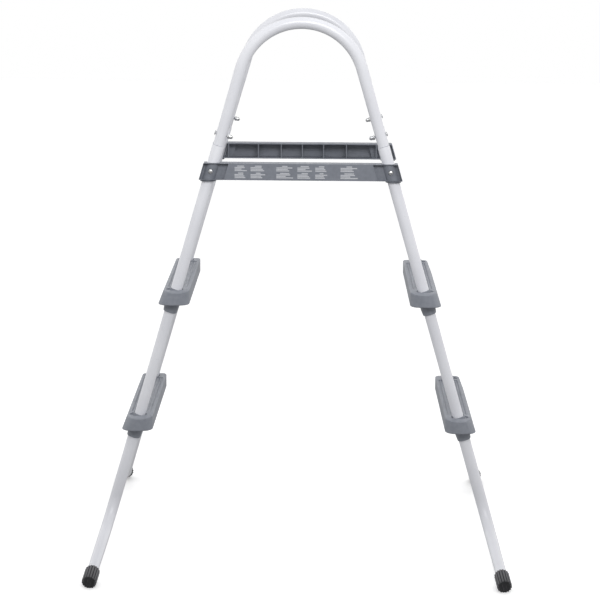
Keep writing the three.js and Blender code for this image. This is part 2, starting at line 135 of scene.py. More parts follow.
# printed notes on the near bracket, as plain bars: (left end, width) of each column
PRINT_COLUMNS = ((-141, 26), (-107, 33), (-52, 36), (-7, 31), (31, 27), (85, 37))
PRINT_LINE_SHARES = (0.55, 0.95, 0.8, 1.0)
PRINT_ROWS = 2
PRINT_ROW_PITCH = 15
PRINT_LINE_PITCH = 3.2
PRINT_LINE_HEIGHT = 2.3
PRINT_TOP_MARGIN = 4.4

# fasteners, M6
SHANK_R = 3
BOLT_HOLE_R = 3.3
HEAD_R = 5.4
HEAD_HEIGHT = 3.4
COUNTERBORE_R = 6.8
NUT_ROOM_R = 6.1
HANDRAIL_BOLT_Z = 937
HEX_FLATS = 10
NUT_HEIGHT = 5
DOME_R = 4.7
DOME_HEIGHT = 7.5

# camera: metres and degrees
CAMERA_PLACE = (0.0407, -4.4419, 1.4161)
CAMERA_TURN = 0.542
CAMERA_DOWN = 11.139
CAMERA_ROLL = 0.43
CAMERA_LENS = 120                # mm, on a sensor 36 mm wide

FRAMES = {"front": -1, "rear": 1}
SIDES = {"left": -1, "right": 1}


# ---------------------------------------------------------------- camera
def make_camera():
    data = bpy.data.cameras.new("camera")
    data.lens = CAMERA_LENS
    data.sensor_width = 36
    data.clip_start = 0.05
    data.clip_end = 60
    camera = bpy.data.objects.new("camera", data)
    turn = Matrix.Rotation(math.radians(CAMERA_TURN), 4, "Z")
    pitch = Matrix.Rotation(math.radians(90 - CAMERA_DOWN), 4, "X")
    roll = Matrix.Rotation(math.radians(CAMERA_ROLL), 4, "Z")
    camera.matrix_world = Matrix.Translation(CAMERA_PLACE) @ turn @ pitch @ roll
    bpy.context.scene.collection.objects.link(camera)
    bpy.context.scene.camera = camera


make_camera()


# ---------------------------------------------------------------- mesh tools
def skin(rings, closed=False):
    """Mesh over rings with equal numbers of points. An open skin gets a face over each end."""
    bm = bmesh.new()
    loops = [[bm.verts.new(point) for point in ring] for ring in rings]
    pairs = list(zip(loops, loops[1:]))
    if closed:
        pairs.append((loops[-1], loops[0]))
    else:
        bm.faces.new(reversed(loops[0]))
        bm.faces.new(loops[-1])
    count = len(rings[0])
    for low, high in pairs:
        for i in range(count):
            j = (i + 1) % count
            bm.faces.new((low[i], low[j], high[j], high[i]))
    bmesh.ops.recalc_face_normals(bm, faces=bm.faces)
    mesh = bpy.data.meshes.new("part")
    bm.to_mesh(mesh)
    bm.free()
    return mesh


def ring(radius, z, sides, shape=None):
    """Points round the Z axis. shape gives a point's radius from its angle, if it isn't a circle."""
    points = []
    for i in range(sides):
        angle = 2 * math.pi * i / sides
        r = radius if shape is None else shape(angle, radius)
        points.append((r * math.cos(angle), r * math.sin(angle), z))
    return points


def lathe(profile, sides, closed=False):
    return skin([ring(radius, z, sides) for radius, z in profile], closed)


def quarter(steps):
    """(sine, cosine) at even steps through a quarter turn."""
    return [(math.sin(a), math.cos(a)) for a in (math.pi / 2 * i / steps for i in range(steps + 1))]


def rounded_corners(corners, radius, steps=4):
    """Points of a convex polygon, counter-clockwise, with its corners rounded."""
    points = []
    for i, corner in enumerate(corners):
        here = Vector(corner)
        before = (Vector(corners[i - 1]) - here).normalized()
        after = (Vector(corners[(i + 1) % len(corners)]) - here).normalized()
        half = before.angle(after) / 2
        middle = here + (before + after).normalized() * (radius / math.sin(half))
        start = here + before * (radius / math.tan(half)) - middle
        end = here + after * (radius / math.tan(half)) - middle
        for k in range(steps + 1):
            points.append(middle + start.slerp(end, k / steps) if radius > 0 else here)
    return points


def drawn_in(corners, inset):
    """A convex counter-clockwise polygon with every side moved inwards."""
    count = len(corners)
    lines = []
    for i in range(count):
        a = Vector(corners[i])
        along = (Vector(corners[(i + 1) % count]) - a).normalized()
        lines.append((a + Vector((-along.y, along.x)) * inset, along))
    moved = []
    for i in range(count):
        (a, d), (b, e) = lines[i - 1], lines[i]
        cross = d.x * e.y - d.y * e.x
        t = ((b.x - a.x) * e.y - (b.y - a.y) * e.x) / cross
        moved.append(tuple(a + d * t))
    return moved


def prism_y(outline, near, far):
    """Prism with an outline of (x, z) points, from y = near to y = far."""
    return skin([[(x, y, z) for x, z in outline] for y in (near, far)])


def block(low, high, rounding=0.0):
    """Box between two corners, with its upright edges rounded."""
    corners = [(low[0], low[1]), (high[0], low[1]), (high[0], high[1]), (low[0], high[1])]
    outline = rounded_corners(corners, rounding) if rounding else corners
    return skin([[(x, y, z) for x, y in outline] for z in (low[2], high[2])])


def moved(mesh, matrix):
    mesh.transform(matrix)
    return mesh


def carve(mesh, tool, operation="DIFFERENCE"):
    """Boolean of two meshes. Both are used up."""
    body = bpy.data.objects.new("body", mesh)
    cutter = bpy.data.objects.new("cutter", tool)
    for item in (body, cutter):
        bpy.context.scene.collection.objects.link(item)
    modifier = body.modifiers.new("carve", "BOOLEAN")
    modifier.operation = operation
    modifier.solver = "EXACT"
    modifier.object = cutter
    made = bpy.data.meshes.new_from_object(body.evaluated_get(bpy.context.evaluated_depsgraph_get()))
    for item in (body, cutter):
        data = item.data
        bpy.data.objects.remove(item)
        bpy.data.meshes.remove(data)
    return made


def modified(mesh, kind, **settings):
    """The mesh after one modifier. The mesh is used up."""
    body = bpy.data.objects.new("body", mesh)
    bpy.context.scene.collection.objects.link(body)
    modifier = body.modifiers.new("change", kind)
    for name, value in settings.items():
        setattr(modifier, name, value)
    made = bpy.data.meshes.new_from_object(body.evaluated_get(bpy.context.evaluated_depsgraph_get()))
    bpy.data.objects.remove(body)
    bpy.data.meshes.remove(mesh)
    return made


def softened(mesh, width):
    """The mesh with its sharp edges bevelled, and shaded so that its flat faces look flat."""
    limit = math.radians(40)
    mesh = modified(mesh, "BEVEL", width=width, segments=2, limit_method="ANGLE", angle_limit=limit)
    mesh.shade_smooth()
    mesh.set_sharp_from_angle(angle=math.radians(32))
    return modified(mesh, "WEIGHTED_NORMAL", mode="FACE_AREA", weight=80, keep_sharp=True)


def along_leg(z):
    """Distance along a leg from the floor to height z."""
    return z / math.cos(LEG_TILT)


def leg_axis_x(z):
    return FLOOR_HALF_SPREAD - z * math.tan(LEG_TILT)


# ---------------------------------------------------------------- materials
def rgb(red, green, blue):
    """Linear colour from its screen values out of 255."""
    def linear(value):
        share = value / 255
        return share / 12.92 if share <= 0.04045 else ((share + 0.055) / 1.055) ** 2.4
    return (linear(red), linear(green), linear(blue), 1.0)


class Surface:
    """A procedural material: one shader whose colour, roughness and bump come from noise."""

    def __init__(self, name):
        self.material = bpy.data.materials.new(name)
        self.material.use_nodes = True
        self.nodes = self.material.node_tree.nodes
        self.links = self.material.node_tree.links
        self.shader = self.nodes["Principled BSDF"]
        coordinates = self.nodes.new("ShaderNodeTexCoord")
        self.place = coordinates.outputs["Object"]

    def noise(self, scale, detail=2.0, stretch=(1, 1, 1)):
        """Noise with features of about 1 / scale metres."""
        mapping = self.nodes.new("ShaderNodeMapping")
        mapping.inputs["Scale"].default_value = stretch
        self.links.new(self.place, mapping.inputs["Vector"])
        noise = self.nodes.new("ShaderNodeTexNoise")
        noise.inputs["Scale"].default_value = scale
        noise.inputs["Detail"].default_value = detail
        self.links.new(mapping.outputs["Vector"], noise.inputs["Vector"])
        return noise.outputs["Fac"]

    def ramp(self, value, low, high, dark, light):
        """A value from low to high as a colour from dark to light."""
        ramp = self.nodes.new("ShaderNodeValToRGB")
        ramp.color_ramp.elements[0].position = low
        ramp.color_ramp.elements[0].color = dark
        ramp.color_ramp.elements[1].position = high
        ramp.color_ramp.elements[1].color = light
        self.links.new(value, ramp.inputs["Fac"])
        return ramp.outputs["Color"]

    def span(self, value, low, high, to_low, to_high):
        """A value from low to high, as a value from to_low to to_high."""
        change = self.nodes.new("ShaderNodeMapRange")
        for name, number in zip(("From Min", "From Max", "To Min", "To Max"), (low, high, to_low, to_high)):
            change.inputs[name].default_value = number
        self.links.new(value, change.inputs["Value"])
        return change.outputs["Result"]

    def mixed(self, share, first, second, blend="MIX"):
        """Two colours mixed by a share, which is a socket or a number."""
        mix = self.nodes.new("ShaderNodeMix")
        mix.data_type = "RGBA"
        mix.blend_type = blend
        for socket, value in ((mix.inputs[0], share), (mix.inputs[6], first), (mix.inputs[7], second)):
            if isinstance(value, bpy.types.NodeSocket):
                self.links.new(value, socket)
            else:
                socket.default_value = value
        return mix.outputs[2]

    def painted_edge_highlight(self, low, high):
        """Near 1 on outward edges, 0 on flat faces: a mask for painting highlights onto edges."""
        geometry = self.nodes.new("ShaderNodeNewGeometry")
        return self.span(geometry.outputs["Pointiness"], low, high, 0, 1)

    def colour(self, value):
        self.links.new(value, self.shader.inputs["Base Color"])

    def roughness(self, value):
        self.links.new(value, self.shader.inputs["Roughness"])

    def bump(self, *layers):
        """Layers of (height, strength, distance in metres), each on top of the one before."""
        normal = None
        for height, strength, distance in layers:
            bump = self.nodes.new("ShaderNodeBump")
            bump.inputs["Strength"].default_value = strength
            bump.inputs["Distance"].default_value = distance
            self.links.new(height, bump.inputs["Height"])
            if normal is not None:
                self.links.new(normal, bump.inputs["Normal"])
            normal = bump.outputs["Normal"]
        self.links.new(normal, self.shader.inputs["Normal"])


def powder_coat():
    """White-grey powder coat: faint orange peel, slight clouding, a little grime in patches."""
    s = Surface("powder_coat")
    clouds = s.ramp(s.noise(9, 3), 0.35, 0.68, rgb(222, 223, 229), rgb(231, 232, 237))
    specks = s.ramp(s.noise(900, 2), 0.3, 0.42, rgb(196, 197, 202), rgb(255, 255, 255))
    s.colour(s.mixed(0.22, clouds, specks, "MULTIPLY"))
    s.roughness(s.span(s.noise(60, 4), 0.3, 0.7, 0.27, 0.38))
    s.bump((s.noise(420, 2), 0.12, 0.0004), (s.noise(1600, 2), 0.06, 0.0002))
    s.shader.inputs["Coat Weight"].default_value = 0.25
    s.shader.inputs["Coat Roughness"].default_value = 0.2
    return s.material


def grey_plastic(name, shade):
    """Injection-moulded grey plastic: fine spark-eroded grain, flow clouding and streaks."""
    s = Surface(name)
    dark, light = rgb(shade - 8, shade - 4, shade + 5), rgb(shade + 4, shade + 8, shade + 17)
    clouds = s.ramp(s.noise(14, 4), 0.32, 0.7, dark, light)
    dark, light = rgb(shade - 15, shade - 11, shade - 2), rgb(shade + 9, shade + 13, shade + 22)
    streaks = s.ramp(s.noise(120, 4, (1, 0.12, 1)), 0.3, 0.7, dark, light)
    s.colour(s.mixed(0.35, clouds, streaks))
    s.roughness(s.span(s.noise(70, 3), 0.3, 0.7, 0.42, 0.56))
    s.bump((s.noise(1300, 3), 0.35, 0.0004), (s.noise(160, 2), 0.08, 0.0006))
    return s.material


def pale_ink():
    """Pale pad print, a little uneven."""
    s = Surface("pale_ink")
    s.colour(s.ramp(s.noise(500, 3), 0.3, 0.65, rgb(176, 178, 184), rgb(198, 200, 205)))
    s.roughness(s.span(s.noise(300, 2), 0.3, 0.7, 0.5, 0.62))
    s.bump((s.noise(1500, 2), 0.2, 0.0002))
    return s.material


def black_rubber():
    """Black rubber with a dull bloom, fine grain and painted highlights on its outward edges."""
    s = Surface("black_rubber")
    bloom = s.ramp(s.noise(45, 4), 0.35, 0.7, rgb(28, 28, 31), rgb(46, 46, 50))
    # outward edges are painted light grey: a painted highlight on the flute ridges and the rims of the cap
    s.colour(s.mixed(s.painted_edge_highlight(0.51, 0.58), bloom, rgb(118, 118, 122)))
    s.roughness(s.span(s.noise(90, 3), 0.3, 0.7, 0.55, 0.75))
    s.bump((s.noise(1400, 3), 0.4, 0.0004))
    return s.material


def zinc_steel():
    """Bright zinc plate with faint colour, brushed lines and dull spots."""
    s = Surface("zinc_steel")
    tint = s.ramp(s.noise(220, 2), 0.35, 0.65, rgb(206, 208, 214), rgb(232, 232, 230))
    dull = s.ramp(s.noise(700, 3), 0.32, 0.45, rgb(176, 178, 184), rgb(255, 255, 255))
    s.colour(s.mixed(0.5, tint, dull, "MULTIPLY"))
    s.roughness(s.span(s.noise(500, 3, (1, 1, 0.15)), 0.3, 0.7, 0.16, 0.34))
    s.bump((s.noise(2500, 2, (1, 1, 0.1)), 0.15, 0.0002))
    s.shader.inputs["Metallic"].default_value = 1.0
    return s.material


COAT = powder_coat()
# steps and brackets are two copies of one grey plastic: the bracket copy is painted darker, a painted shade
# that offsets the stronger front-lamp light at the bracket's height
STEP_PLASTIC = grey_plastic("step_plastic", 138)
SHADED_BRACKET_PLASTIC = grey_plastic("bracket_plastic_painted_shade", 124)
INK = pale_ink()
RUBBER = black_rubber()
ZINC = zinc_steel()


# ---------------------------------------------------------------- pieces
def piece(name, mesh, matrix, material, node=None, sharp=32):
    """Places a copy of a mesh as one piece of the ladder, standing for a CAD node if one is named.

    sharp is the angle of the edges that stay sharp; with None the mesh keeps its own shading.
    """
    mesh = mesh.copy()
    mesh.name = name
    mesh.transform(Matrix.Scale(MM, 4) @ matrix)
    mesh.materials.clear()
    mesh.materials.append(material)
    if sharp is not None:
        mesh.shade_smooth()
        mesh.set_sharp_from_angle(angle=math.radians(sharp))
    made = bpy.data.objects.new(name, mesh)
    bpy.context.scene.collection.objects.link(made)
    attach(made, "root")
    if node is not None:
        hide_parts(node)
    return made


def tube(stations, binormal):
    """A tube as a closed skin: its outer stations from start to end, then its bore back again.

    stations holds (point, tangent, radius) round the wall. The path lies in one plane.
    """
    rings = []
    for point, tangent, radius in stations:
        across = binormal.cross(tangent).normalized()
        rings.append([
            point + across * (radius * math.cos(a)) + binormal * (radius * math.sin(a))
            for a in (2 * math.pi * i / TUBE_SIDES for i in range(TUBE_SIDES))
        ])
    return skin(rings, closed=True)


def rim_stations(point, tangent, outer, bore, inwards):
    """A rounded tube end, from the bore to the outside. inwards points into the tube."""
    steps = quarter(3)
    made = [(point + inwards * (BORE_RIM * (1 - s)), tangent, bore + BORE_RIM * (1 - c)) for s, c in steps]
    made += [
        (point + inwards * (TUBE_RIM * (1 - c)), tangent, outer - TUBE_RIM * (1 - s))
        for s, c in reversed(steps)
    ]
    return made


def walled(path, outer, bore):
    """Wall stations of a tube with one outer radius along a path of (point, tangent)."""
    start, end = path[0], path[-1]
    made = rim_stations(start[0], start[1], outer, bore, start[1])
    made += [(point, tangent, outer) for point, tangent in path[1:-1]]
    made += reversed(rim_stations(end[0], end[1], outer, bore, -end[1]))
    made += [(point, tangent, bore) for point, tangent in reversed(path[1:-1])]
    return made


def handrail():
    apex = OVERALL_HEIGHT - TUBE_R
    radius = leg_axis_x(apex) * math.cos(LEG_TILT) / (1 - math.sin(LEG_TILT))
    centre = apex - radius
    end_x = leg_axis_x(HANDRAIL_SEAM_Z) - GAP * math.sin(LEG_TILT)
    end_z = HANDRAIL_SEAM_Z + GAP * math.cos(LEG_TILT)
    path = [(Vector((end_x, 0, end_z)), Vector((-math.sin(LEG_TILT), 0, math.cos(LEG_TILT))))]
    steps = 72
    for i in range(steps + 1):
        a = LEG_TILT + (math.pi - 2 * LEG_TILT) * i / steps
        point = Vector((radius * math.cos(a), 0, centre + radius * math.sin(a)))
        path.append((point, Vector((-math.sin(a), 0, math.cos(a)))))
    path.append((Vector((-end_x, 0, end_z)), Vector((-math.sin(LEG_TILT), 0, -math.cos(LEG_TILT)))))
    return tube(walled(path, TUBE_R, TUBE_BORE_R), Vector((0, 1, 0)))


def spigot(top, tangent):
    """Wall stations of a swaged end that starts at height top, from the shoulder out and back in."""
    up = Vector((0, 0, 1 if tangent.z > 0 else -1))
    base = Vector((0, 0, top))
    made = [(base - up * (TUBE_RIM * (1 - s)), tangent, TUBE_R - TUBE_RIM * (1 - c)) for s, c in quarter(3)]
    made.append((base + up * 0.2, tangent, SPIGOT_R + 0.3))
    made.append((base + up * 1.2, tangent, SPIGOT_R))
    made.append((base + up * (SPIGOT_LENGTH - 1), tangent, SPIGOT_R))
    made.append((base + up * SPIGOT_LENGTH, tangent, SPIGOT_R - 0.6))
    made.append((base + up * SPIGOT_LENGTH, tangent, SPIGOT_BORE_R))
    made.append((base + up, tangent, SPIGOT_BORE_R))
    made.append((base - up * 2, tangent, TUBE_BORE_R))
    return made


def upper_leg():
    low = along_leg(J_LEG_SEAM_Z) + GAP
    high = along_leg(HANDRAIL_SEAM_Z)
    up = Vector((0, 0, 1))
    made = rim_stations(Vector((0, 0, low)), up, TUBE_R, TUBE_BORE_R, up)
    made += spigot(high, up)
    return tube(made, Vector((0, 1, 0)))


def foot_line():
    """Length of the foot, and the height on the leg where foot and leg would meet."""
    length = FOOT_REACH / math.sin(FOOT_BEND)
    dip = math.cos(FOOT_BEND) * math.cos(LEG_TILT)
    end_height = CAP_R * math.sqrt(1 - dip * dip) - CAP_FLAT_DEPTH
    return length, along_leg(end_height) + length * math.cos(FOOT_BEND)


def j_leg():
    length, corner = foot_line()
    bend_start = corner + FOOT_BEND_RADIUS * math.tan(FOOT_BEND / 2)
    top = along_leg(J_LEG_SEAM_Z)
    down = Vector((0, 0, -1))
    bend = []
    steps = 40
    for i in range(steps + 1):
        a = FOOT_BEND * i / steps
        y = FOOT_BEND_RADIUS * (1 - math.cos(a))
        point = Vector((0, y, bend_start - FOOT_BEND_RADIUS * math.sin(a)))
        bend.append((point, Vector((0, math.sin(a), -math.cos(a)))))
    along = bend[-1][1]
    end = Vector((0, 0, corner)) + along * (length - CAP_END_WALL - GAP)
    swaged = [(point, down, radius) for point, _, radius in spigot(top, Vector((0, 0, 1)))]
    made = list(reversed(swaged))
    made += [(point, tangent, TUBE_R) for point, tangent in bend]
    made += reversed(rim_stations(end, along, TUBE_R, TUBE_BORE_R, -along))
    made += [(point, tangent, TUBE_BORE_R) for point, tangent in reversed(bend)]
    return tube(made, Vector((1, 0, 0)))


def foot_cap():
    """Fluted rubber sleeve with its end face at z = 0 and its mouth above."""
    def fluted(angle, radius):
        wave = 0.5 + 0.5 * math.cos(CAP_FLUTES * angle)
        depth = CAP_R - CAP_BASE_R
        return radius - depth * (1 - min(1.0, 1.35 * wave ** 0.6))

    sides = CAP_FLUTES * 10
    bore = TUBE_R + GAP
    rings = [ring(CAP_R - 5, 0, sides)]
    for s, c in quarter(4):
        rings.append(ring(CAP_R - 1.6 * (1 - s), 1.6 * (1 - c), sides, fluted))
    rings.append(ring(CAP_R, CAP_LENGTH - 1.2, sides, fluted))
    rings.append(ring(CAP_R - 0.5, CAP_LENGTH - 0.3, sides, fluted))
    rings.append(ring(CAP_R - 1.2, CAP_LENGTH, sides, fluted))
    rings.append(ring(bore + 0.3, CAP_LENGTH, sides))
    rings.append(ring(bore, CAP_LENGTH - 0.4, sides))
    rings.append(ring(bore, CAP_END_WALL, sides))
    mesh = skin(rings)
    pitch = 2 * CAP_R / (CAP_TREAD_BARS + 1)
    for i in range(CAP_TREAD_BARS):
        x = (i - (CAP_TREAD_BARS - 1) / 2) * pitch
        reach = math.sqrt((CAP_R - 2.6) ** 2 - x * x)
        mesh = carve(mesh, block((x - 0.9, -reach, -1), (x + 0.9, reach, 0.9)))
    return mesh


# ---------------------------------------------------------------- step
def step_outer(z):
    """Distance from the tube axis at the tread to the climbing side, at depth z."""
    return STEP_OUTER_TOP - z * (STEP_OUTER_BOTTOM - STEP_OUTER_TOP) / STEP_HEIGHT


def step_plan(inset, z, drop=0.0):
    """Ring round the step at height z, drawn in by inset. It starts at the middle of an end."""
    inner = -STEP_INNER + inset
    outer = step_outer(z) - inset
    middle, width = (inner + outer) / 2, (outer - inner) / 2
    radius = max(STEP_CORNER - inset, 1.0)
    half = STEP_LENGTH / 2 - inset
    corner_x, corner_y = width - radius, half - STEP_END_BULGE - radius
    turn = [(corner_x * k / 4, corner_y + radius) for k in range(4)]
    turn += [(corner_x + radius * s, corner_y + radius * c) for s, c in quarter(6)]
    turn = [(x, y + STEP_END_BULGE * (1 - (x / width) ** 2)) for x, y in turn]
    back = turn[::-1]
    loop = [(x, -y) for x, y in turn] + [(x, y) for x, y in back]
    loop += [(-x, y) for x, y in turn[1:]] + [(-x, -y) for x, y in back[:-1]]
    made = []
    for x, y in loop:
        fall = max(0.0, abs(y) - (half - STEP_END_FALL)) / STEP_END_FALL
        made.append((middle + x, y, z - drop * fall * fall))
    return made


def step_body():
    """The solid step. Its top is closed by strips across it, so that it can curve down at the ends."""
    rings = []
    for s, c in quarter(5):
        rings.append(step_plan(STEP_BOTTOM_ROUND * (1 - s), -STEP_HEIGHT + STEP_BOTTOM_ROUND * (1 - c)))
    for s, c in quarter(5):
        rings.append(step_plan(STEP_TOP_ROUND * (1 - c), -STEP_TOP_ROUND * (1 - s), STEP_END_DROP))
    bm = bmesh.new()
    bm.from_mesh(skin(rings))
    bm.faces.ensure_lookup_table()
    bm.verts.ensure_lookup_table()
    count = len(rings[0])
    top = bm.verts[len(bm.verts) - count:]
    lid = [face for face in bm.faces if len(face.verts) == count and top[0] in face.verts]
    bmesh.ops.delete(bm, geom=lid, context="FACES_ONLY")
    for i in range(count // 2):
        corners = [top[i], top[i + 1], top[count - i - 1], top[-i]]
        bm.faces.new(list(dict.fromkeys(corners)))
    bmesh.ops.recalc_face_normals(bm, faces=bm.faces)
    mesh = bpy.data.meshes.new("step")
    bm.to_mesh(mesh)
    bm.free()
    return mesh


def tread_cutter():
    """Takes out the middle of the tread, leaving lengthwise anti-slip ribs on its floor."""
    left, right = -STEP_INNER + TREAD_MARGIN, STEP_OUTER_TOP - TREAD_MARGIN
    outline = [(right + 1.2, 1), (left - 1.2, 1), (left - 0.8, 0), (left, -0.8)]
    steps = TREAD_RIBS * 8
    for i in range(steps + 1):
        share = i / steps
        wave = 0.5 - 0.5 * math.cos(2 * math.pi * TREAD_RIBS * share)
        z = -TREAD_DEPTH + TREAD_RIB_HEIGHT * wave ** 2
        outline.append((left + 0.3 + (right - left - 0.6) * share, z))
    outline += [(right, -0.8), (right + 0.8, 0)]
    return prism_y(outline, -TREAD_HALF_LENGTH, TREAD_HALF_LENGTH)


def obround(y, levels):
    """An upright solid between two round ends, round the leg at y. levels holds (radius, z)."""
    rings = []
    for radius, z in levels:
        points = []
        for i in range(56):
            a = 2 * math.pi * (i + 0.5) / 56
            middle = OPENING_FAR if math.cos(a) > 0 else OPENING_NEAR
            points.append((middle + radius * math.cos(a), y + radius * math.sin(a), z))
        rings.append(points)
    return skin(rings)


def opening_cutter(y):
    """Sunk slot round the leg, with a rounded mouth."""
    r = OPENING_R
    mouth = [(r + 1.3, 1), (r + 1.3, 0), (r + 0.4, -0.4), (r, -1.3)]
    return obround(y, mouth + [(r - 0.3, -OPENING_DEPTH + 0.8), (r - 1, -OPENING_DEPTH)])


def on_leg(mesh, y):
    """Moves a shape on the Z axis onto the axis of a leg through the step."""
    return moved(mesh, Matrix.Translation((0, y, 0)) @ Matrix.Rotation(-LEG_TILT, 4, "Y"))


def on_step_bolt(mesh, y):
    """Moves a shape on the Z axis onto the line of a step bolt. Outwards is +Z before it."""
    place = Matrix.Translation((STEP_BOLT_DEPTH * math.tan(LEG_TILT), y, -STEP_BOLT_DEPTH))
    return moved(mesh, place @ Matrix.Rotation(math.pi / 2 - LEG_TILT, 4, "Y"))


def step():
    hollow = skin([step_plan(STEP_WALL, z) for z in (-STEP_HEIGHT - 1, -STEP_WALL - TREAD_DEPTH)])
    body = carve(step_body(), hollow)
    for i in range(-1, 2):
        low, high = -STEP_HEIGHT + 3, -3
        rib = [
            (-STEP_INNER + 1.2, low),
            (step_outer(low) - 1.2, low),
            (step_outer(high) - 1.2, high),
            (-STEP_INNER + 1.2, high),
        ]
        y = i * STEP_RIB_PITCH
        body = carve(body, prism_y(rib, y - STEP_RIB / 2, y + STEP_RIB / 2), "UNION")
    under = -along_leg(STEP_HEIGHT)
    below = -STEP_HEIGHT - FLANGE_DEPTH
    for y in (-FRAME_SPACING / 2, FRAME_SPACING / 2):
        half_block = BOLT_BLOCK / 2
        bolt_block = block((-half_block, -half_block, -STEP_NUT_SEAT), (half_block, half_block, 31))
        inside = carve(on_step_bolt(bolt_block, y), step_body(), "INTERSECT")
        body = carve(body, inside, "UNION")
        cup = OPENING_R + OPENING_WALL
        body = carve(body, obround(y, [(cup, -OPENING_DEPTH - OPENING_WALL), (cup, CUP_TOP)]), "UNION")
        flange = lathe([(FLANGE_R - 1, below), (FLANGE_R, below + 1), (FLANGE_R, -STEP_HEIGHT + 6)], 48)
        middle = -below * math.tan(LEG_TILT) + 1
        body = carve(body, moved(flange, Matrix.Translation((middle, y, 0))), "UNION")
        sleeve = lathe([
            (SLEEVE_TIP_R - 0.8, under - SLEEVE_DROP),
            (SLEEVE_TIP_R, under - SLEEVE_DROP + 0.8),
            (SLEEVE_R, under - 6),
            (SLEEVE_R, -OPENING_DEPTH - 1),
        ], 48)
        body = carve(body, on_leg(sleeve, y), "UNION")
    body = carve(body, tread_cutter())
    for y in (-FRAME_SPACING / 2, FRAME_SPACING / 2):
        body = carve(body, opening_cutter(y))
        collar = lathe([
            (COLLAR_R, -OPENING_DEPTH - 3),
            (COLLAR_R, COLLAR_RISE - 0.5),
            (COLLAR_R - 0.5, COLLAR_RISE),
            (TUBE_R, COLLAR_RISE),
        ], 48)
        body = carve(body, on_leg(collar, y), "UNION")
        bore = lathe([(TUBE_R + GAP, under - SLEEVE_DROP - 5), (TUBE_R + GAP, 8)], 48)
        body = carve(body, on_leg(bore, y))
        bolt_hole = lathe([(BOLT_HOLE_R, -60), (BOLT_HOLE_R, 60)], 24)
        body = carve(body, on_step_bolt(bolt_hole, y))
        counterbore = lathe([(COUNTERBORE_R, STEP_BOLT_SEAT), (COUNTERBORE_R, 60)], 32)
        body = carve(body, on_step_bolt(counterbore, y))
        nut_room = lathe([(NUT_ROOM_R, -STEP_NUT_SEAT - 6), (NUT_ROOM_R, -STEP_NUT_SEAT)], 32)
        body = carve(body, on_step_bolt(nut_room, y))
    return body


# ---------------------------------------------------------------- top bracket
def bracket_axis(z):
    """Distance from the middle of the bracket to the tube axis, at height z above its underside."""
    return leg_axis_x(BRACKET_BOTTOM_Z) - z * math.tan(LEG_TILT)


def slanted(side, start, end, low, high):
    """Counter-clockwise corners between two lines beside the tube axis, from z = low to z = high."""
    corners = [
        (bracket_axis(low) + start, low),
        (bracket_axis(low) + end, low),
        (bracket_axis(high) + end, high),
        (bracket_axis(high) + start, high),
    ]
    if side > 0:
        return corners
    return [(-x, z) for x, z in reversed(corners)]


def bracket_shell():
    """Solid block of the bracket, with all its outer edges rounded."""
    half = bracket_axis(0) + BRACKET_END_MARGIN
    half_top = bracket_axis(BRACKET_HEIGHT) + BRACKET_END_MARGIN
    corners = [(-half, 0), (half, 0), (half_top, BRACKET_HEIGHT), (-half_top, BRACKET_HEIGHT)]
    rings = []
    levels = [(BRACKET_ROUND * (1 - s), -BRACKET_BACK + BRACKET_ROUND * (1 - c)) for s, c in quarter(4)]
    levels += [(BRACKET_ROUND * (1 - c), BRACKET_FRONT - BRACKET_ROUND * (1 - s)) for s, c in quarter(4)]
    for inset, y in levels:
        outline = rounded_corners(drawn_in(corners, inset), max(BRACKET_ROUND - inset, 0.3))
        rings.append([(x, y, z) for x, z in outline])
    return skin(rings)


def hollow(side, start, end, depth):
    """Room open to the back of the bracket, from start to end along it, depth beyond the tube plane."""
    low, high = BRACKET_WALL, BRACKET_HEIGHT - BRACKET_WALL
    corners = [(start, low), (end, low), (end, high), (start, high)]
    if side < 0:
        corners = [(-x, z) for x, z in reversed(corners)]
    return prism_y(rounded_corners(corners, 1), -BRACKET_BACK - 1, depth)


def top_bracket():
    top, wall, back = BRACKET_HEIGHT, BRACKET_WALL, -BRACKET_BACK - 1
    rib = HALF_BRACKET_RIB
    recess_end = BRACKET_END_MARGIN - RECESS_LIP
    body = bracket_shell()
    for side in (-1, 1):
        recess = slanted(side, -RECESS_MARGIN, recess_end, RECESS_LIP, top - RECESS_LIP)
        body = carve(body, prism_y(rounded_corners(recess, 0.8), RECESS_FRONT, BRACKET_FRONT + 1))
        beside = prism_y(slanted(side, -200, -RECESS_MARGIN - wall, 0, top), back - 1, BRACKET_FRONT)
        at_end = prism_y(slanted(side, -200, BRACKET_END_MARGIN - wall, 0, top), back - 1, BRACKET_FRONT)
        for low, high in zip(BRACKET_RIBS[:-2], BRACKET_RIBS[1:-1]):
            body = carve(body, hollow(side, low + rib, high - rib, BRACKET_FRONT - wall))
        inner_rib, outer_rib = BRACKET_RIBS[-2:]
        deep_room = hollow(side, inner_rib + rib, outer_rib - rib, BRACKET_FRONT - wall)
        body = carve(body, carve(deep_room, beside, "INTERSECT"))
        body = carve(body, hollow(side, inner_rib + rib, outer_rib - rib, RECESS_FRONT - wall))
        bracket_end = bracket_axis(0) + BRACKET_END_MARGIN
        end_room = hollow(side, outer_rib + rib, bracket_end, RECESS_FRONT - wall)
        body = carve(body, carve(end_room, at_end, "INTERSECT"))

        lean = Matrix.Translation((side * bracket_axis(0), 0, 0))
        lean = lean @ Matrix.Rotation(-side * LEG_TILT, 4, "Y")
        saddle = moved(lathe([(SADDLE_R, -60), (SADDLE_R, 120)], 64), lean)
        saddle = carve(saddle, block((-400, 0, -SADDLE_LIP), (400, 40, top)), "INTERSECT")
        body = carve(body, saddle, "UNION")
        body = carve(body, moved(lathe([(TUBE_R + GAP, -100), (TUBE_R + GAP, 160)], 64), lean))
        reach = TUBE_R + GAP
        body = carve(body, moved(block((-reach, -40, -150), (reach, 0, 150)), lean))
        drill = lathe([(BOLT_HOLE_R, -60), (BOLT_HOLE_R, 60)], 24)
        place = Matrix.Translation((side * bracket_axis(top / 2), 0, top / 2))
        body = carve(body, moved(drill, place @ Matrix.Rotation(math.pi / 2, 4, "X")))
    return body


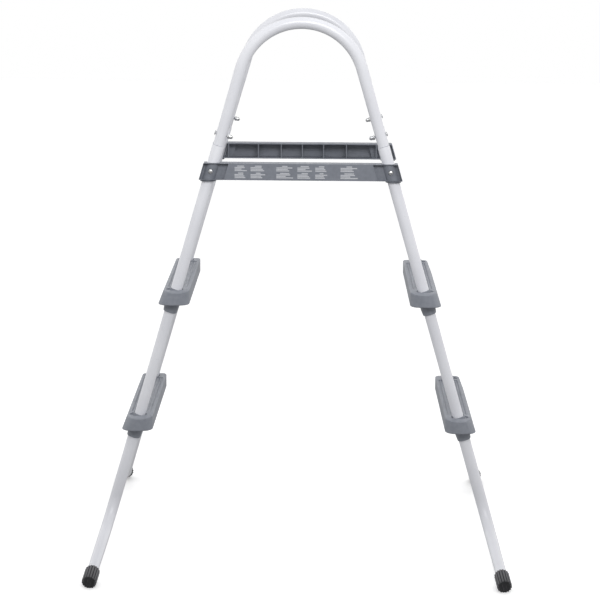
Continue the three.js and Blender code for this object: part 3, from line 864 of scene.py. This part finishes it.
def print_bars():
    """Plain bars in six columns and two rows, where the maker's printed notes would be."""
    bm = bmesh.new()
    for column, (left, width) in enumerate(PRINT_COLUMNS):
        for row in range(PRINT_ROWS):
            for line, share in enumerate(PRINT_LINE_SHARES):
                top = BRACKET_HEIGHT - PRINT_TOP_MARGIN - row * PRINT_ROW_PITCH - line * PRINT_LINE_PITCH
                length = width * (share - 0.12 * ((column + line + row) % 3))
                x = left + (width - length) / 2 if line == 0 else left
                low = Vector((x, -BRACKET_FRONT - 0.15, top - PRINT_LINE_HEIGHT))
                high = Vector((x + length, -BRACKET_FRONT + 0.2, top))
                size = high - low
                place = Matrix.Translation((low + high) / 2) @ Matrix.Diagonal((*size, 1))
                bmesh.ops.create_cube(bm, size=1, matrix=place)
    mesh = bpy.data.meshes.new("bars")
    bm.to_mesh(mesh)
    bm.free()
    return mesh


# ---------------------------------------------------------------- fasteners
def thread(length, start):
    """Profile of a threaded shank from its tip at -length up to -start."""
    points = [(0.4, -length), (SHANK_R - 0.7, -length)]
    turns = int(length - start)
    for i in range(turns):
        z = -length + 0.6 + i * (length - start - 0.6) / turns
        points += [(SHANK_R - 0.35, z), (SHANK_R, z + 0.5)]
    return points


def bolt(length):
    """Round-head bolt: the underside of the head is z = 0, the shank points down."""
    points = thread(length, max(length - 14, 4))
    points += [(SHANK_R, -0.4), (SHANK_R + 0.3, 0), (HEAD_R - 0.4, 0), (HEAD_R, 0.35)]
    for s, c in quarter(8)[1:]:
        points.append((max(HEAD_R * c, 0.3), 0.35 + (HEAD_HEIGHT - 0.35) * s))
    return lathe(points, 40)


def hexagon(angle, radius):
    """Radius of a nut at an angle: its hexagon, cut back to the chamfer's radius."""
    sixth = math.pi / 3
    return min(HEX_FLATS / 2 / math.cos((angle + sixth / 2) % sixth - sixth / 2), radius)


def hex_nut():
    """Hexagon nut from z = -NUT_HEIGHT to z = 0."""
    low, high = -NUT_HEIGHT, 0
    flat = HEX_FLATS / 2
    profile = [(flat - 0.1, low), (flat + 0.8, low + 0.55), (flat + 0.8, high - 0.55), (flat - 0.1, high)]
    rings = [ring(radius, z, 48, hexagon) for radius, z in profile]
    rings += [ring(BOLT_HOLE_R + 0.3, high, 48), ring(BOLT_HOLE_R, high - 0.4, 48)]
    rings += [ring(BOLT_HOLE_R, low + 0.4, 48), ring(BOLT_HOLE_R + 0.3, low, 48)]
    return skin(rings, closed=True)


def cap_nut():
    """Hexagon nut closed by a dome, open at z = 0."""
    flat = HEX_FLATS / 2
    low = -NUT_HEIGHT
    rings = [ring(BOLT_HOLE_R, low, 48), ring(BOLT_HOLE_R, 0, 48), ring(flat - 0.1, 0, 48, hexagon)]
    rings += [ring(flat + 0.8, -0.5, 48, hexagon), ring(flat + 0.8, low + 0.5, 48, hexagon)]
    rings += [ring(flat - 0.1, low, 48, hexagon), ring(DOME_R, low - 0.3, 48)]
    straight = DOME_HEIGHT - DOME_R
    for s, c in quarter(8)[:-1]:
        rings.append(ring(DOME_R * c, low - straight - DOME_R * s, 48))
    rings.append(ring(0.3, low - DOME_HEIGHT, 48))
    return skin(rings)


# ---------------------------------------------------------------- assembly
def leg_place(frame_side, side):
    spot = Matrix.Translation((side * FLOOR_HALF_SPREAD, frame_side * FRAME_SPACING / 2, 0))
    return spot @ Matrix.Rotation(-side * LEG_TILT, 4, "Y")


def turned_out(frame_side):
    return Matrix.Identity(4) if frame_side > 0 else Matrix.Rotation(math.pi, 4, "Z")


def bolt_set(place, at, turn, bolt_part, nut_part):
    """A bolt and its nut on one line across a leg. Each part is (name, mesh, distance from the axis)."""
    line = place @ Matrix.Translation((0, 0, at)) @ turn
    name, mesh, seat = bolt_part
    piece(name + "_zinc", mesh, line @ Matrix.Translation((0, 0, seat)), ZINC, name, 40)
    name, mesh, seat = nut_part
    piece(name + "_zinc", mesh, line @ Matrix.Translation((0, 0, -seat)), ZINC, name, 25)


def standing(made):
    """Flattens what would be below the floor."""
    for vertex in made.data.vertices:
        vertex.co.z = max(vertex.co.z, 0.0)


def make_leg(frame_name, frame_side, side_name, side, shapes):
    where = f"{frame_name}_{side_name}"
    place = leg_place(frame_side, side)
    piece(f"upper_leg_{where}_tube", shapes["upper_leg"], place, COAT, f"upper_leg_{where}")
    foot = place @ turned_out(frame_side)
    piece(f"j_leg_{where}_tube", shapes["j_leg"], foot, COAT, f"j_leg_{where}")
    length, corner = foot_line()
    end = Vector((0, math.sin(FOOT_BEND), -math.cos(FOOT_BEND))) * length + Vector((0, 0, corner))
    cap_place = foot @ Matrix.Translation(end) @ Matrix.Rotation(FOOT_BEND, 4, "X")
    node = f"foot_cap_{where}"
    standing(piece(node + "_rubber", shapes["foot_cap"], cap_place, RUBBER, node))

    seat = TUBE_R + GAP
    across = Matrix.Rotation(side * math.pi / 2, 4, "Y")
    bolt_set(
        place, along_leg(HANDRAIL_BOLT_Z), across,
        (f"handrail_bolt_{where}", shapes["handrail_bolt"], seat),
        (f"handrail_cap_nut_{where}", shapes["cap_nut"], seat),
    )
    for level, top in STEP_TOPS.items():
        bolt_set(
            place, along_leg(top - STEP_BOLT_DEPTH), across,
            (f"step_bolt_{level}_{where}", shapes["step_bolt"], STEP_BOLT_SEAT + GAP),
            (f"step_nut_{level}_{where}", shapes["nut"], STEP_NUT_SEAT + GAP),
        )
    bolt_set(
        place, along_leg(BRACKET_BOTTOM_Z + BRACKET_HEIGHT / 2),
        Matrix.Rotation(-frame_side * math.pi / 2, 4, "X"),
        (f"bracket_bolt_{where}", shapes["bracket_bolt"], SADDLE_R + GAP),
        (f"bracket_nut_{where}", shapes["nut"], seat),
    )


def make_ladder():
    seat = TUBE_R + GAP
    shapes = {
        "handrail": handrail(),
        "upper_leg": upper_leg(),
        "j_leg": j_leg(),
        "foot_cap": foot_cap(),
        "step": softened(step(), EDGE_SOFTENING),
        "top_bracket": softened(top_bracket(), EDGE_SOFTENING),
        "print_bars": print_bars(),
        "handrail_bolt": bolt(2 * seat + 7),
        "step_bolt": bolt(STEP_BOLT_SEAT + STEP_NUT_SEAT + NUT_HEIGHT + 2),
        "bracket_bolt": bolt(SADDLE_R + seat + NUT_HEIGHT + 2),
        "nut": hex_nut(),
        "cap_nut": cap_nut(),
    }
    for frame_name, frame_side in FRAMES.items():
        plane = Matrix.Translation((0, frame_side * FRAME_SPACING / 2, 0))
        node = f"handrail_{frame_name}"
        piece(node + "_tube", shapes["handrail"], plane, COAT, node)
        place = plane @ Matrix.Translation((0, 0, BRACKET_BOTTOM_Z)) @ turned_out(frame_side)
        node = f"top_bracket_{frame_name}"
        piece(node + "_moulding", shapes["top_bracket"], place, SHADED_BRACKET_PLASTIC, node, None)
        if frame_name == "front":
            level = plane @ Matrix.Translation((0, 0, BRACKET_BOTTOM_Z))
            piece("print_bars_front", shapes["print_bars"], level, INK)
        for side_name, side in SIDES.items():
            make_leg(frame_name, frame_side, side_name, side, shapes)
    for level, top in STEP_TOPS.items():
        for side_name, side in SIDES.items():
            place = Matrix.Translation((side * leg_axis_x(top), 0, top)) @ turned_out(side)
            node = f"step_{level}_{side_name}"
            piece(node + "_moulding", shapes["step"], place, STEP_PLASTIC, node, None)


make_ladder()


# ---------------------------------------------------------------- floor and light
# Brightness of the room as the ladder sees it, where 1 is the backdrop as the camera sees it
GROUND_GLOW = 0.42
FRONT_GLOW = 0.66
SKY_GLOW = 0.6
ROOM_GLOW = 1.25                 # behind the ladder, the brightest side of the room

FLOOR_GLOW = 0.3                 # emission of the floor, which only the camera sees
FLOOR_HALF_SIZE = 12.0           # metres


def make_floor():
    s = Surface("pale_floor")
    s.colour(s.ramp(s.noise(3, 2), 0.3, 0.7, rgb(250, 250, 250), rgb(253, 253, 253)))
    s.roughness(s.span(s.noise(30, 2), 0.3, 0.7, 0.7, 0.8))
    s.shader.inputs["Emission Color"].default_value = (1.0, 1.0, 1.0, 1.0)
    s.shader.inputs["Emission Strength"].default_value = FLOOR_GLOW
    mesh = bpy.data.meshes.new("floor")
    far = FLOOR_HALF_SIZE
    mesh.from_pydata([(-far, -far, 0), (far, -far, 0), (far, far, 0), (-far, far, 0)], [], [(0, 1, 2, 3)])
    mesh.materials.append(s.material)
    floor = bpy.data.objects.new("floor", mesh)
    bpy.context.scene.collection.objects.link(floor)
    floor.visible_diffuse = False
    floor.visible_glossy = False


def make_light(name, location, target, size, power, spread):
    data = bpy.data.lights.new(name, "AREA")
    data.shape = "RECTANGLE"
    data.size, data.size_y = size
    data.energy = power
    data.spread = math.radians(spread)
    lamp = bpy.data.objects.new(name, data)
    aim = Vector(target) - Vector(location)
    lamp.matrix_world = Matrix.Translation(location) @ aim.to_track_quat("-Z", "Y").to_matrix().to_4x4()
    lamp.visible_camera = False
    bpy.context.scene.collection.objects.link(lamp)


def make_world():
    """White studio: the backdrop is bright, the room behind the camera and the ground are dimmer."""
    world = bpy.data.worlds.new("studio")
    world.use_nodes = True
    nodes, links = world.node_tree.nodes, world.node_tree.links
    direction = nodes.new("ShaderNodeTexCoord")
    parts = nodes.new("ShaderNodeSeparateXYZ")
    links.new(direction.outputs["Generated"], parts.inputs["Vector"])
    shares = []
    spans = (
        ("Z", (-0.25, 0.1, GROUND_GLOW, 1.0)),
        ("Z", (0.2, 0.9, 1.0, SKY_GLOW)),
        ("Y", (-0.7, 0.4, FRONT_GLOW, ROOM_GLOW)),
    )
    for axis, span in spans:
        change = nodes.new("ShaderNodeMapRange")
        change.interpolation_type = "SMOOTHSTEP"
        for name, number in zip(("From Min", "From Max", "To Min", "To Max"), span):
            change.inputs[name].default_value = number
        links.new(parts.outputs[axis], change.inputs["Value"])
        shares.append(change.outputs["Result"])
    glow = shares[0]
    for share in shares[1:]:
        product = nodes.new("ShaderNodeMath")
        product.operation = "MULTIPLY"
        links.new(glow, product.inputs[0])
        links.new(share, product.inputs[1])
        glow = product.outputs["Value"]
    seen = nodes.new("ShaderNodeLightPath")
    strength = nodes.new("ShaderNodeMix")
    strength.inputs["B"].default_value = 1.0
    links.new(seen.outputs["Is Camera Ray"], strength.inputs["Factor"])
    links.new(glow, strength.inputs["A"])
    background = nodes["Background"]
    background.inputs["Color"].default_value = (1.0, 1.0, 1.0, 1.0)
    links.new(strength.outputs["Result"], background.inputs["Strength"])
    bpy.context.scene.world = world
    bpy.context.scene.view_settings.view_transform = "Standard"


make_floor()
make_light("overhead", (0, -0.4, 3.2), (0, 0, 0.6), (2.5, 2.5), 4, 180)
make_light("front", (0.3, -2.5, 2.45), (0, -0.1, 1.15), (1.6, 1.0), 10, 80)
make_world()
